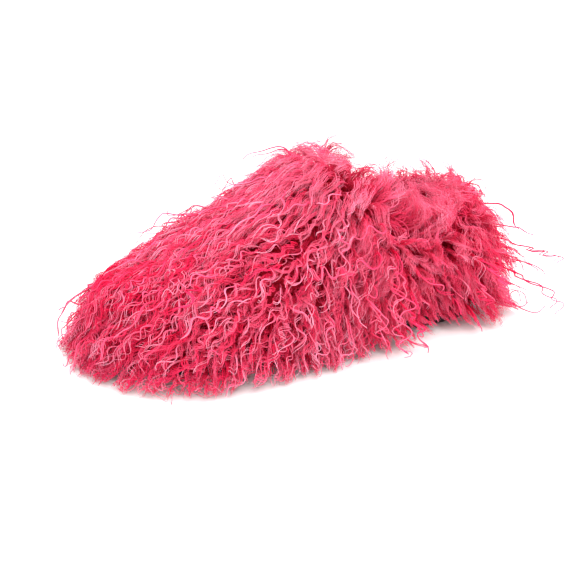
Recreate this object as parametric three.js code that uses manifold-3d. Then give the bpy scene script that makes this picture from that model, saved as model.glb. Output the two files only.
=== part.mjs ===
// A fluffy slip-on house slipper for the left foot, as an assembly of its separate pieces.
// Millimetres. +X points to the toe, +Y to the outer side of the foot, +Z up; the ground is Z = 0.
// The upper is a set of nested skins. Each skin follows the foot space at its own distance, and the
// fur panels fill the room between the innermost skins and the outline of the pile.

import * as THREE from 'three';
import { LoftGeometry } from 'three/addons/geometries/LoftGeometry.js';
import { mergeVertices } from 'three/addons/utils/BufferGeometryUtils.js';
import Module from 'manifold-3d';

const wasm = await Module();
wasm.setup();

// ---- Driving dimensions ----

const GAP = 0.3; // clearance between neighbouring pieces

// Outline of the pile, the largest outline of the slipper.
const PILE_LENGTH = 304;
const PILE_WIDTH = 167;
const PILE_INSTEP = 118;
const PILE_HEEL = 90;
const PILE_TOE = 50;
const PILE_HEM = 1.5; // height of the pile's lower edge above the ground

// Room inside the linings, for a foot of about 240 mm.
const FOOT_LENGTH = 246;
const FOOT_BALL_WIDTH = 94;
const FOOT_INSTEP = 92;
const FOOT_HEEL = 72;
const FOOT_TOE = 43;
const TOE_SWING = 5; // how far the toe leans to the inner side of the foot

// Thicknesses of the bottom unit, from the ground up.
const TREAD = 6;
const MIDSOLE = 7;
const BOARD = 1.6;
const FOAM = 4;
const SOCK_LINER = 1.2;
const SOLE_OVERHANG = 4.2; // sole edge outside the foot space

// Skins of the upper, as distances outside the foot space.
const LINING = [0, 1.6];
const STIFFENER = [1.9, 3.7];
const FUR_BACKING = 4.1;
const HEEL_POCKET = [-1.5, -0.3]; // lies inside the quarter linings

// Foot opening: an ellipse seen from above.
const OPENING_X = -68;
const OPENING_HALF_LENGTH = 44;
const OPENING_HALF_WIDTH = 29;
const BINDING_RADIUS = 2.2;
const PANEL_SETBACK = BINDING_RADIUS + 0.5; // panels stop here, outside the binding's centre line
const COLLAR_FOAM_WIDTH = 16;

// Side seams: a sloping plane that runs down and forward from the front of the opening.
const SEAM_TOP_X = -34;
const SEAM_TOP_Z = 118;
const SEAM_SLOPE = 0.46; // forward travel for each millimetre of height lost
const SEAM_GAP = 0.5;
const SEAM_DEPTH = 4.7; // distance of the seam threads outside the foot space
const SEAM_END = 1.5; // the threads stop this short of the sole and of the opening
const THREAD_RADIUS = 0.6;
const THREAD_CHANNEL = 1;
const SEAM_STEPS = 12; // sections along a seam thread
const TOPLINE_STEPS = 32; // sections round the foot opening

const FLEX_X = 50; // line of the toe joints, where the sole bends
const FLEX_GAP = 0.6; // between the front and rear tread pads
const TREAD_PITCH = 16;
const GROOVE_WIDTH = 4;
const GROOVE_DEPTH = 2.5;
const TOE_PUFF_X = 84;
const COUNTER_X = -62;
const COUNTER_TOP = 46;
const HEEL_POCKET_X = -88;
const HEEL_POCKET_TOP = 44;

// ---- Heights worked out from the thicknesses ----

const MIDSOLE_BASE = TREAD + GAP;
const BOARD_BASE = MIDSOLE_BASE + MIDSOLE + GAP;
const FOAM_BASE = BOARD_BASE + BOARD + GAP;
const LINER_BASE = FOAM_BASE + FOAM + GAP;
const LINER_TOP = LINER_BASE + SOCK_LINER;
const FAR = 400; // reaches past the slipper in every direction
const WELD_DISTANCE = 1e-4;
const CORD_SIDES = 6;

// ---- Smooth values along the slipper ----

// A smooth curve through [share of the length from heel to toe, value] stations.
function curveThrough(stations) {
	const last = stations.length - 1;
	const slopes = stations.map((_, i) => {
		const [fromAt, fromValue] = stations[Math.max(i - 1, 0)];
		const [toAt, toValue] = stations[Math.min(i + 1, last)];
		return (toValue - fromValue) / (toAt - fromAt);
	});
	return share => {
		const found = stations.findIndex(([at]) => at >= share);
		const i = found < 0 ? last : Math.max(found, 1);
		const [fromAt, fromValue] = stations[i - 1];
		const [toAt, toValue] = stations[i];
		const span = toAt - fromAt;
		const u = (share - fromAt) / span;
		const rise = 3 * u * u - 2 * u * u * u;
		const leave = u * (1 - u) * (1 - u) * span * slopes[i - 1];
		const arrive = u * u * (1 - u) * span * slopes[i];
		return THREE.MathUtils.lerp(fromValue, toValue, rise) + leave - arrive;
	};
}

// Rounds off an end: 0 at the tip, 1 from `length` inward, along a superellipse.
function endRounding(distance, length, power) {
	const inward = Math.min(Math.max(distance / length, 0), 1);
	return (1 - (1 - inward) ** power) ** (1 / power);
}

// ---- Mound: a domed outline standing on the ground ----

const SIDE_POWER = 0.85; // how square the section is at the side
const CROWN_POWER = 0.75; // how square the section is at the top
const MOUND_STATIONS = 24;
const MOUND_AROUND = 14;
const MOUND_DEPTH = 10;
const TIP_SHARE = 0.012; // the loft starts this far round the end, so that its caps are not points

class Mound {
	constructor({ length, width, crown, ends, swing }) {
		this.length = length;
		this.width = width;
		this.crown = crown;
		this.ends = ends;
		this.swing = swing;
	}

	// Sideways place of the centre line at x: straight at the heel, then leaning inward to the toe.
	centre(x) {
		const forward = Math.max(2 * x / this.length, 0);
		return -this.swing * forward * forward;
	}

	// Half width and crown height at x, for the skin that lies `grow` outside this mound.
	section(x, grow = 0) {
		const half = this.length / 2 + grow;
		const share = THREE.MathUtils.clamp(x / this.length + 0.5, 0, 1);
		const { heel, toe, power, blunt } = this.ends;
		const round = endRounding(x + half, heel, power) * endRounding(half - x, toe, power);
		return {
			halfWidth: (this.width(share) + grow) * round,
			crown: (this.crown(share) + grow) * (blunt + (1 - blunt) * round),
		};
	}

	// A point on the skin at x; angle 0 is the crown and a quarter turn is the ground line.
	point(x, angle, grow = 0) {
		const { halfWidth, crown } = this.section(x, grow);
		const side = Math.sign(angle) * Math.abs(Math.sin(angle)) ** SIDE_POWER;
		const rise = Math.max(Math.cos(angle), 0) ** CROWN_POWER;
		return new THREE.Vector3(x, this.centre(x) + halfWidth * side, crown * rise);
	}

	// The height of the skin above a place on the ground.
	height(x, y, grow = 0) {
		const { halfWidth, crown } = this.section(x, grow);
		const side = Math.min(Math.abs(y - this.centre(x)) / halfWidth, 1) ** (1 / SIDE_POWER);
		return crown * (1 - side * side) ** (CROWN_POWER / 2);
	}

	// The closed solid under the skin, carried straight down below the ground.
	solid(grow = 0) {
		const half = this.length / 2 + grow;
		const sections = [];
		for (let i = 0; i <= MOUND_STATIONS; i++) {
			const turn = THREE.MathUtils.lerp(TIP_SHARE, 1 - TIP_SHARE, i / MOUND_STATIONS) * Math.PI;
			const x = -half * Math.cos(turn);
			const ring = [];
			for (let j = 0; j <= MOUND_AROUND; j++) {
				ring.push(this.point(x, (0.5 - j / MOUND_AROUND) * Math.PI, grow));
			}
			ring.unshift(ring[0].clone().setZ(-MOUND_DEPTH));
			ring.push(ring[ring.length - 1].clone().setZ(-MOUND_DEPTH));
			sections.push(ring);
		}
		return toSolid(new LoftGeometry(sections, { capStart: true, capEnd: true }));
	}
}

const pile = new Mound({
	length: PILE_LENGTH,
	width: curveThrough([[0, 0.8], [0.2, 0.84], [0.45, 0.87], [0.7, 1], [0.85, 0.99], [1, 0.9]]
		.map(([at, share]) => [at, share * PILE_WIDTH / 2])),
	crown: curveThrough([
		[0, 0.86 * PILE_HEEL], [0.12, PILE_HEEL], [0.26, PILE_HEEL + 1], [0.38, PILE_INSTEP - 6],
		[0.46, PILE_INSTEP], [0.61, 0.66 * PILE_INSTEP + 0.34 * PILE_TOE], [0.88, PILE_TOE],
		[1, 0.8 * PILE_TOE],
	]),
	ends: { heel: 50, toe: 62, power: 2.3, blunt: 0 },
	swing: 0,
});

const footSpace = new Mound({
	length: FOOT_LENGTH,
	width: curveThrough([[0, 0.76], [0.2, 0.8], [0.42, 0.8], [0.7, 1], [0.86, 0.96], [1, 0.84]]
		.map(([at, share]) => [at, share * FOOT_BALL_WIDTH / 2])),
	crown: curveThrough([
		[0, FOOT_HEEL - 4], [0.15, FOOT_HEEL], [0.3, FOOT_HEEL + 5], [0.44, FOOT_INSTEP],
		[0.62, 0.62 * FOOT_INSTEP + 0.38 * FOOT_TOE], [0.88, FOOT_TOE], [1, FOOT_TOE - 4],
	]),
	ends: { heel: 34, toe: 44, power: 2.3, blunt: 0.72 },
	swing: TOE_SWING,
});

// ---- Solids ----

// A closed mesh as a solid that can be joined and cut.
function toSolid(geometry) {
	const bare = new THREE.BufferGeometry();
	bare.setAttribute('position', geometry.attributes.position);
	bare.setIndex(geometry.index);
	const welded = mergeVertices(bare, WELD_DISTANCE);
	return new wasm.Manifold(new wasm.Mesh({
		numProp: 3,
		vertProperties: new Float32Array(welded.attributes.position.array),
		triVerts: new Uint32Array(welded.index.array),
	}));
}

function toGeometry(solid) {
	const { vertProperties, triVerts } = solid.getMesh();
	const geometry = new THREE.BufferGeometry();
	geometry.setAttribute('position', new THREE.BufferAttribute(vertProperties, 3));
	geometry.setIndex(new THREE.BufferAttribute(triVerts, 1));
	geometry.computeVertexNormals();
	return geometry;
}

// A box between two corners.
function block(low, high) {
	const size = high.clone().sub(low);
	const centre = high.clone().add(low).multiplyScalar(0.5);
	const geometry = new THREE.BoxGeometry(size.x, size.y, size.z);
	geometry.translate(centre.x, centre.y, centre.z);
	return toSolid(geometry);
}

// Everything between two planes across an axis.
function slab(axis, from, to) {
	const low = new THREE.Vector3(-FAR, -FAR, -FAR);
	const high = new THREE.Vector3(FAR, FAR, FAR);
	low[axis] = from;
	high[axis] = to;
	return block(low, high);
}

const aheadOf = x => slab('x', x, FAR);
const behind = x => slab('x', -FAR, x);
const above = z => slab('z', z, FAR);
const below = z => slab('z', -FAR, z);

// The part of space in front of the side seams, moved forward by `shift`.
function aheadOfSeam(shift) {
	const outline = new THREE.Shape([
		new THREE.Vector2(seamX(-FAR) + shift, -FAR),
		new THREE.Vector2(2 * FAR, -FAR),
		new THREE.Vector2(2 * FAR, FAR),
		new THREE.Vector2(seamX(FAR) + shift, FAR),
	]);
	const geometry = new THREE.ExtrudeGeometry(outline, { depth: 2 * FAR, bevelEnabled: false });
	geometry.rotateX(Math.PI / 2);
	geometry.translate(0, FAR, 0);
	return toSolid(geometry);
}

// An upright column over the foot opening, `grow` larger all round.
function openingColumn(grow) {
	const outline = new THREE.Shape();
	outline.absellipse(
		OPENING_X, 0, OPENING_HALF_LENGTH + grow, OPENING_HALF_WIDTH + grow, 0, Math.PI * 2,
	);
	const geometry = new THREE.ExtrudeGeometry(outline, {
		depth: FAR, bevelEnabled: false, curveSegments: 12,
	});
	geometry.translate(0, 0, LINER_TOP);
	return toSolid(geometry);
}

// A round cord along a path. A closed path gives a ring.
function cord(path, radius, steps) {
	const around = CORD_SIDES;
	const frames = path.computeFrenetFrames(steps, path.closed);
	const sections = [];
	for (let i = 0; i <= steps; i++) {
		const at = path.closed ? i % steps : i;
		const centre = path.getPointAt(at / steps);
		const ring = [];
		for (let j = 0; j < around; j++) {
			const turn = j / around * 2 * Math.PI;
			ring.push(centre.clone()
				.addScaledVector(frames.normals[at], Math.cos(turn) * radius)
				.addScaledVector(frames.binormals[at], Math.sin(turn) * radius));
		}
		sections.push(ring);
	}
	return toSolid(new LoftGeometry(sections, { capStart: !path.closed, capEnd: !path.closed }));
}

// ---- Lines on the upper ----

// Place of the side seams at a height.
function seamX(z) {
	return SEAM_TOP_X + SEAM_SLOPE * (SEAM_TOP_Z - z);
}

// The side seam on one side (+1 outer, -1 inner), from the sole up to the collar.
function sideSeam(side) {
	const steps = 40;
	const points = [];
	for (let i = 0; i <= steps; i++) {
		const z = THREE.MathUtils.lerp(BOARD_BASE + SEAM_END, FOOT_INSTEP, i / steps);
		const x = seamX(z);
		const { halfWidth, crown } = footSpace.section(x, SEAM_DEPTH);
		const rise = Math.min(z / crown, 1) ** (1 / CROWN_POWER);
		const y = footSpace.centre(x) + side * halfWidth * Math.sqrt(1 - rise * rise) ** SIDE_POWER;
		const inOpening = Math.hypot(
			(x - OPENING_X) / (OPENING_HALF_LENGTH + PANEL_SETBACK + SEAM_END),
			y / (OPENING_HALF_WIDTH + PANEL_SETBACK + SEAM_END),
		) < 1;
		if (inOpening) {
			break;
		}
		points.push(new THREE.Vector3(x, y, z));
	}
	return new THREE.CatmullRomCurve3(points);
}

// The seam up the back of the heel, from the sole to the collar.
function backSeam() {
	const backX = -FOOT_LENGTH / 2 - SEAM_DEPTH;
	const collarX = OPENING_X - OPENING_HALF_LENGTH - PANEL_SETBACK - SEAM_END;
	const shoulder = footSpace.section(backX, SEAM_DEPTH).crown;
	const points = [new THREE.Vector3(backX, 0, BOARD_BASE + SEAM_END)];
	points.push(new THREE.Vector3(backX, 0, (BOARD_BASE + shoulder) / 2));
	const steps = 6;
	for (let i = 0; i <= steps; i++) {
		const x = THREE.MathUtils.lerp(backX, collarX, (i / steps) ** 2);
		points.push(new THREE.Vector3(x, 0, footSpace.section(x, SEAM_DEPTH).crown));
	}
	return new THREE.CatmullRomCurve3(points, false, 'chordal');
}

// A ring round the foot opening on the skin that lies `grow` outside the foot space.
function toplineRing(inset, grow) {
	const steps = 24;
	const points = [];
	for (let i = 0; i < steps; i++) {
		const turn = i / steps * 2 * Math.PI;
		const x = OPENING_X + (OPENING_HALF_LENGTH - inset) * Math.cos(turn);
		const y = (OPENING_HALF_WIDTH - inset) * Math.sin(turn);
		points.push(new THREE.Vector3(x, y, footSpace.height(x, y, grow)));
	}
	return new THREE.CatmullRomCurve3(points, true);
}

// ---- Shapes shared by several pieces ----

// A layer of the bottom unit: a slice of the foot outline, `grow` larger all round.
function soleLayer(grow, base, thickness) {
	return footSpace.solid(grow).intersect(slab('z', base, base + thickness));
}

// The room between two skins of the upper, from the midsole up, with the foot opening cut out.
function skin([inside, outside]) {
	return footSpace.solid(outside)
		.subtract(footSpace.solid(inside))
		.subtract(openingColumn(PANEL_SETBACK))
		.intersect(above(BOARD_BASE));
}

// The pile over the whole upper, hanging outside the sole, with channels for the seam threads.
function pileShell() {
	const soleRoom = footSpace.solid(SOLE_OVERHANG + GAP).intersect(below(BOARD_BASE));
	return pile.solid()
		.subtract(footSpace.solid(FUR_BACKING))
		.subtract(soleRoom)
		.subtract(openingColumn(PANEL_SETBACK))
		.subtract(cord(sideSeam(1), THREAD_CHANNEL, SEAM_STEPS))
		.subtract(cord(sideSeam(-1), THREAD_CHANNEL, SEAM_STEPS))
		.subtract(cord(backSeam(), THREAD_CHANNEL, SEAM_STEPS))
		.intersect(above(PILE_HEM));
}

// Cuts a shell into the front panel and the two rear panels along the seams.
function panels(shell) {
	const front = aheadOfSeam(SEAM_GAP / 2);
	const rear = shell.subtract(aheadOfSeam(-SEAM_GAP / 2));
	return {
		vamp: shell.intersect(front),
		lateral: rear.intersect(slab('y', SEAM_GAP / 2, FAR)),
		medial: rear.intersect(slab('y', -FAR, -SEAM_GAP / 2)),
	};
}

// Cuts evenly spaced grooves across the underside, away from the flex line.
function cutTread(pad) {
	const count = Math.floor(FOOT_LENGTH / TREAD_PITCH);
	let grooved = pad;
	for (let i = 0; i < count; i++) {
		const x = (i + 0.5 - count / 2) * TREAD_PITCH;
		if (Math.abs(x - FLEX_X) > GROOVE_WIDTH) {
			grooved = grooved.subtract(block(
				new THREE.Vector3(x - GROOVE_WIDTH / 2, -FAR, -FAR),
				new THREE.Vector3(x + GROOVE_WIDTH / 2, FAR, GROOVE_DEPTH),
			));
		}
	}
	return grooved;
}

// ---- Materials ----

function material(color, roughness) {
	return new THREE.MeshStandardMaterial({ color, roughness, metalness: 0 });
}

const furPink = material(0xdb4a68, 0.95);
const rubber = material(0x141314, 0.7);
const foamBlack = material(0x1c1a1c, 0.85);
const fibreboard = material(0xa98c64, 0.9);
const foam = material(0xe9ddc0, 0.95);
const tanSuede = material(0xb98a5e, 0.9);
const stiffener = material(0xd8d0bf, 0.8);
const pinkTape = material(0xc23a58, 0.8);
const pinkThread = material(0xd2486a, 0.7);

// ---- The pieces ----

const slipper = new THREE.Group();

function addPiece(name, solid, look) {
	const mesh = new THREE.Mesh(toGeometry(solid), look);
	mesh.name = name;
	slipper.add(mesh);
}

function addBottomUnit() {
	const tread = soleLayer(SOLE_OVERHANG, 0, TREAD);
	addPiece('forefoot_outsole', cutTread(tread.intersect(aheadOf(FLEX_X + FLEX_GAP / 2))), rubber);
	addPiece('heel_outsole', cutTread(tread.intersect(behind(FLEX_X - FLEX_GAP / 2))), rubber);
	addPiece('midsole', soleLayer(SOLE_OVERHANG, MIDSOLE_BASE, MIDSOLE), foamBlack);
	const board = soleLayer(-GAP, BOARD_BASE, BOARD);
	addPiece('front_insole_board', board.intersect(aheadOf(FLEX_X + FLEX_GAP / 2)), fibreboard);
	addPiece('rear_insole_board', board.intersect(behind(FLEX_X - FLEX_GAP / 2)), fibreboard);
	addPiece('footbed_foam', soleLayer(-GAP, FOAM_BASE, FOAM), foam);
	addPiece('sock_liner', soleLayer(-GAP, LINER_BASE, SOCK_LINER), tanSuede);
}

function addFur() {
	const { vamp, lateral, medial } = panels(pileShell());
	addPiece('vamp_fur', vamp, furPink);
	addPiece('lateral_quarter_fur', lateral, furPink);
	addPiece('medial_quarter_fur', medial, furPink);
}

function addLinings() {
	const { vamp, lateral, medial } = panels(skin(LINING));
	addPiece('vamp_lining', vamp, tanSuede);
	addPiece('lateral_quarter_lining', lateral, tanSuede);
	addPiece('medial_quarter_lining', medial, tanSuede);
	const pocket = footSpace.solid(HEEL_POCKET[1])
		.subtract(footSpace.solid(HEEL_POCKET[0]))
		.intersect(behind(HEEL_POCKET_X))
		.intersect(slab('z', LINER_TOP + GAP, HEEL_POCKET_TOP));
	addPiece('heel_lining', pocket, tanSuede);
}

function addStiffening() {
	const layer = skin(STIFFENER);
	addPiece('toe_puff', layer.intersect(aheadOf(TOE_PUFF_X)), stiffener);
	const counter = layer.intersect(behind(COUNTER_X)).intersect(below(COUNTER_TOP));
	addPiece('heel_counter', counter, stiffener);
	const collar = layer.intersect(openingColumn(COLLAR_FOAM_WIDTH)).intersect(above(COUNTER_TOP + GAP));
	addPiece('collar_foam', collar, foam);
}

function addCollarEdge() {
	const middle = (LINING[0] + FUR_BACKING) / 2;
	addPiece('topline_binding', cord(toplineRing(0, middle), BINDING_RADIUS, TOPLINE_STEPS), pinkTape);
	const inset = BINDING_RADIUS + GAP + THREAD_RADIUS;
	addPiece('topline_thread', cord(toplineRing(inset, middle), THREAD_RADIUS, TOPLINE_STEPS), pinkThread);
}

function addSeamThreads() {
	addPiece('lateral_seam_thread', cord(sideSeam(1), THREAD_RADIUS, SEAM_STEPS), pinkThread);
	addPiece('medial_seam_thread', cord(sideSeam(-1), THREAD_RADIUS, SEAM_STEPS), pinkThread);
	addPiece('back_seam_thread', cord(backSeam(), THREAD_RADIUS, SEAM_STEPS), pinkThread);
}

addBottomUnit();
addFur();
addLinings();
addStiffening();
addCollarEdge();
addSeamThreads();

export default slipper;
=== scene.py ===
"""A fluffy house slipper in long curly faux fur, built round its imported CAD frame.

Shapes are worked out in millimetres in the frame's own axes: +X to the toe, +Y to the outer side, +Z up.
Meshes are written in metres.
"""

import math

import bpy
import numpy as np
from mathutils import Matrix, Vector
from mathutils.bvhtree import BVHTree


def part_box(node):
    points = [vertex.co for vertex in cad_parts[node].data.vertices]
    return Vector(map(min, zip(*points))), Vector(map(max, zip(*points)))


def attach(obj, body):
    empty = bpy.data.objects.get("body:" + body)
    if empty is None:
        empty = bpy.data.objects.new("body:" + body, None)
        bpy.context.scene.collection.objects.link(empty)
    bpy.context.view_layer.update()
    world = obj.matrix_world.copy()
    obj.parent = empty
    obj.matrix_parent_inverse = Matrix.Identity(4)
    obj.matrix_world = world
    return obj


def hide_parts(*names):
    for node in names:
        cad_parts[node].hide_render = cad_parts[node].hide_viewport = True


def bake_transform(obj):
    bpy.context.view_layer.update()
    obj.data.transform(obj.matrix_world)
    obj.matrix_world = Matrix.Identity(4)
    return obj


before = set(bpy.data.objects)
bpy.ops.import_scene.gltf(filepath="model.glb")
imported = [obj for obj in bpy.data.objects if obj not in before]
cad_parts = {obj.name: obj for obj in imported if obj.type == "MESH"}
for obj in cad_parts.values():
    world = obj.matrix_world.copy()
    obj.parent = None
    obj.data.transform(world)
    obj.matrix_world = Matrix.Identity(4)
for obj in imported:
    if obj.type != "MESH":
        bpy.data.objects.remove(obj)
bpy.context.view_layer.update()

MM = 0.001
SEED = 11

# ---------------------------------------------------------------- outlines


def box_mm(*nodes):
    """Lowest and highest corner of some CAD nodes, in millimetres."""
    corners = [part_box(node) for node in nodes]
    low = np.min([np.array(c[0]) for c in corners], axis=0)
    high = np.max([np.array(c[1]) for c in corners], axis=0)
    return low / MM, high / MM


PILE_LOW, PILE_HIGH = box_mm("vamp_fur", "lateral_quarter_fur", "medial_quarter_fur")
LINING_LOW, LINING_HIGH = box_mm("vamp_lining", "lateral_quarter_lining", "medial_quarter_lining")
BINDING_LOW, BINDING_HIGH = box_mm("topline_binding")

PILE_LENGTH = PILE_HIGH[0] - PILE_LOW[0]
PILE_WIDTH = PILE_HIGH[1] - PILE_LOW[1]
PILE_INSTEP = PILE_HIGH[2]
PILE_HEEL = 0.76 * PILE_INSTEP
PILE_TOE = 0.42 * PILE_INSTEP

LINING_THICKNESS = 1.6
FOOT_LENGTH = LINING_HIGH[0] - LINING_LOW[0] - 2 * LINING_THICKNESS
FOOT_WIDTH = 94.0
FOOT_INSTEP = 92.0
FOOT_HEEL = 72.0
FOOT_TOE = 43.0
BACKING = 4.1  # the fur's backing cloth lies this far outside the foot space
CLEARANCE = 0.3  # between pieces that lie against each other
SOLE_TOP = box_mm("midsole")[1][2]

BINDING_RADIUS = 2.2
OPENING_X = (BINDING_LOW[0] + BINDING_HIGH[0]) / 2
OPENING_HALF_LENGTH = (BINDING_HIGH[0] - BINDING_LOW[0]) / 2 - BINDING_RADIUS
OPENING_HALF_WIDTH = (BINDING_HIGH[1] - BINDING_LOW[1]) / 2 - BINDING_RADIUS

SEAM_TOP_X, SEAM_TOP_Z, SEAM_SLOPE = -34.0, 118.0, 0.46
FIRST_TURN, LAST_TURN = 0.004, 0.996  # grids over a mound stop just short of its two tips


def smooth(value, start, end):
    """0 up to start and 1 past end, with no corner between."""
    t = np.clip((value - start) / (end - start), 0, 1)
    return t * t * (3 - 2 * t)


def curve_through(stations, share):
    """A smooth curve through [share, value] stations."""
    at = np.array([s[0] for s in stations])
    values = np.array([s[1] for s in stations])
    before = np.maximum(np.arange(len(at)) - 1, 0)
    after = np.minimum(np.arange(len(at)) + 1, len(at) - 1)
    slopes = (values[after] - values[before]) / (at[after] - at[before])
    i = np.clip(np.searchsorted(at, share), 1, len(at) - 1)
    span = at[i] - at[i - 1]
    u = (share - at[i - 1]) / span
    rise = u * u * (3 - 2 * u)
    leave = u * (1 - u) ** 2 * span * slopes[i - 1]
    arrive = u**2 * (1 - u) * span * slopes[i]
    return values[i - 1] * (1 - rise) + values[i] * rise + leave - arrive


class Mound:
    """A domed outline standing on the ground; turn 0 to 1 runs heel to toe, angle 0 is the crown.

    Width and crown are stations of its half width and height. Heel and toe are the lengths over which
    its ends round off, with a power; blunt is the share of the height that is left at the very ends.
    """

    SIDE_POWER = 0.85
    CROWN_POWER = 0.75

    def __init__(self, length, width, crown, heel, toe, power, blunt, swing):
        self.length, self.width, self.crown = length, width, crown
        self.heel, self.toe, self.power, self.blunt, self.swing = heel, toe, power, blunt, swing

    def rounding(self, distance, length):
        """Share of the full width at a distance from one end, which rounds off over a length."""
        inward = np.clip(distance / length, 0, 1)
        return (1 - (1 - inward) ** self.power) ** (1 / self.power)

    def section(self, x, grow=0.0):
        """Half width and crown height at x; grow moves the outline outward."""
        half = self.length / 2 + grow
        share = np.clip(x / self.length + 0.5, 0, 1)
        ends = self.rounding(x + half, self.heel) * self.rounding(half - x, self.toe)
        half_width = (curve_through(self.width, share) + grow) * ends
        crown = (curve_through(self.crown, share) + grow) * (self.blunt + (1 - self.blunt) * ends)
        return half_width, crown

    def centre(self, x):
        """The middle line, which swings inward towards the toe."""
        return -self.swing * np.maximum(2 * x / self.length, 0) ** 2

    def point(self, turn, angle, grow=0.0):
        """The place at a turn and an angle."""
        x = -(self.length / 2 + grow) * np.cos(np.pi * np.clip(turn, FIRST_TURN, LAST_TURN))
        half_width, crown = self.section(x, grow)
        side = np.sign(angle) * np.abs(np.sin(angle)) ** self.SIDE_POWER
        rise = np.maximum(np.cos(angle), 1e-9) ** self.CROWN_POWER
        return np.stack([x, self.centre(x) + half_width * side, crown * rise], axis=-1)

    def height(self, x, y, grow=0.0):
        """Height of the outline above (x, y)."""
        half_width, crown = self.section(x, grow)
        sideways = np.abs(y - self.centre(x)) / np.maximum(half_width, 1e-6)
        side = np.minimum(sideways, 1) ** (1 / self.SIDE_POWER)
        return crown * np.maximum(1 - side**2, 0) ** (self.CROWN_POWER / 2)


def stations(scale, *pairs):
    """Stations whose values are shares of a size."""
    return [(at, value * scale) for at, value in pairs]


PILE = Mound(
    length=PILE_LENGTH,
    width=stations(PILE_WIDTH / 2, (0, 0.8), (0.2, 0.84), (0.45, 0.87), (0.7, 1), (0.85, 0.99), (1, 0.9)),
    crown=[
        (0, 0.86 * PILE_HEEL), (0.12, PILE_HEEL), (0.26, PILE_HEEL), (0.38, 0.95 * PILE_INSTEP),
        (0.46, PILE_INSTEP), (0.61, 0.66 * PILE_INSTEP + 0.34 * PILE_TOE),
        (0.88, PILE_TOE), (1, 0.8 * PILE_TOE),
    ],
    heel=50, toe=62, power=2.3, blunt=0, swing=0,
)
FOOT = Mound(
    length=FOOT_LENGTH,
    width=stations(FOOT_WIDTH / 2, (0, 0.76), (0.2, 0.8), (0.42, 0.8), (0.7, 1), (0.86, 0.96), (1, 0.84)),
    crown=[
        (0, FOOT_HEEL - 4), (0.15, FOOT_HEEL), (0.3, FOOT_HEEL + 5), (0.44, FOOT_INSTEP),
        (0.62, 0.62 * FOOT_INSTEP + 0.38 * FOOT_TOE), (0.88, FOOT_TOE), (1, FOOT_TOE - 4),
    ],
    heel=34, toe=44, power=2.3, blunt=0.72, swing=5,
)


def in_pile(turn, angle, depth):
    """A place in the pile: depth 0 on the backing cloth, 1 at the outline of the tips."""
    backing = FOOT.point(turn, angle, BACKING)
    outline = PILE.point(turn, angle)
    return backing + (outline - backing) * depth[..., None]


def opening_reach(points):
    """Below 1 inside the foot opening seen from above, 1 on its edge."""
    return np.hypot((points[..., 0] - OPENING_X) / OPENING_HALF_LENGTH, points[..., 1] / OPENING_HALF_WIDTH)


def unit(v):
    """Vectors at length 1."""
    return v / np.maximum(np.linalg.norm(v, axis=-1, keepdims=True), 1e-9)


# ---------------------------------------------------------------- sheets and cords


def put_in_scene(name, data):
    """A new object in the scene."""
    obj = bpy.data.objects.new(name, data)
    bpy.context.scene.collection.objects.link(obj)
    return obj


def mesh_object(name, points, faces, material):
    """A mesh piece from points in millimetres."""
    mesh = bpy.data.meshes.new(name)
    mesh.from_pydata((points.reshape(-1, 3) * MM).tolist(), [], faces)
    mesh.shade_smooth()
    mesh.materials.append(material)
    return put_in_scene(name, mesh)


def add_bevel(obj, width, segments, smallest_angle):
    """Rounds the edges that are sharper than an angle in degrees."""
    rounding = obj.modifiers.new("rounding", "BEVEL")
    rounding.width = width * MM
    rounding.segments = segments
    rounding.limit_method = "ANGLE"
    rounding.angle_limit = math.radians(smallest_angle)


def sheet(name, points, thickness, material, bevel=0.0):
    """A closed sheet whose outer face runs through a (rows, columns, 3) grid of points."""
    rows, columns, _ = points.shape
    index = np.arange(rows * columns).reshape(rows, columns)
    quads = np.stack([index[:-1, :-1], index[1:, :-1], index[1:, 1:], index[:-1, 1:]], axis=-1)
    faces_out = np.cross(points[1:, :-1] - points[:-1, :-1], points[:-1, 1:] - points[:-1, :-1])
    if np.sum(faces_out * points[:-1, :-1]) < 0:
        quads = quads[..., ::-1]
    obj = mesh_object(name, points, quads.reshape(-1, 4).tolist(), material)
    solidify = obj.modifiers.new("thickness", "SOLIDIFY")
    solidify.thickness = thickness * MM
    solidify.offset = -1
    if bevel:
        add_bevel(obj, bevel, 3, 50)
    apply_modifiers(obj)
    return obj


def apply_modifiers(obj):
    """Bakes the modifiers into the piece's mesh."""
    graph = bpy.context.evaluated_depsgraph_get()
    mesh = bpy.data.meshes.new_from_object(obj.evaluated_get(graph))
    old = obj.data
    obj.modifiers.clear()
    obj.data = mesh
    bpy.data.meshes.remove(old)


def cord(name, path, radius, sides, closed, material, plies=0, lay=1.0):
    """A round cord along a path; plies twist ridges into it, one turn in every lay."""
    ahead, behind = np.roll(path, -1, axis=0), np.roll(path, 1, axis=0)
    if not closed:
        ahead[-1], behind[0] = path[-1], path[0]
    tangent = unit(ahead - behind)
    across = unit(np.cross(tangent, [0.1, 0.97, 0.2]))
    upward = np.cross(tangent, across)
    travel = np.concatenate([[0], np.cumsum(np.linalg.norm(np.diff(path, axis=0), axis=1))])
    turn = 2 * np.pi * np.arange(sides) / sides
    ridge_turn = plies * turn[None, :] - 2 * np.pi * travel[:, None] / lay
    ridges = 0.2 * np.cos(ridge_turn) if plies else 0
    reach = radius * (1 + ridges) * np.ones((len(path), sides))
    ring = across[:, None] * np.cos(turn)[None, :, None]
    ring = ring + upward[:, None] * np.sin(turn)[None, :, None]
    points = path[:, None] + ring * reach[..., None]
    index = np.arange(len(path) * sides).reshape(len(path), sides)
    if closed:
        index = np.concatenate([index, index[:1]])
    beside = np.roll(index, -1, axis=1)
    faces = np.stack([index[:-1], beside[:-1], beside[1:], index[1:]], axis=-1).reshape(-1, 4).tolist()
    if not closed:
        faces += [index[0, ::-1].tolist(), index[-1].tolist()]
    return mesh_object(name, points, faces, material)


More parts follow.
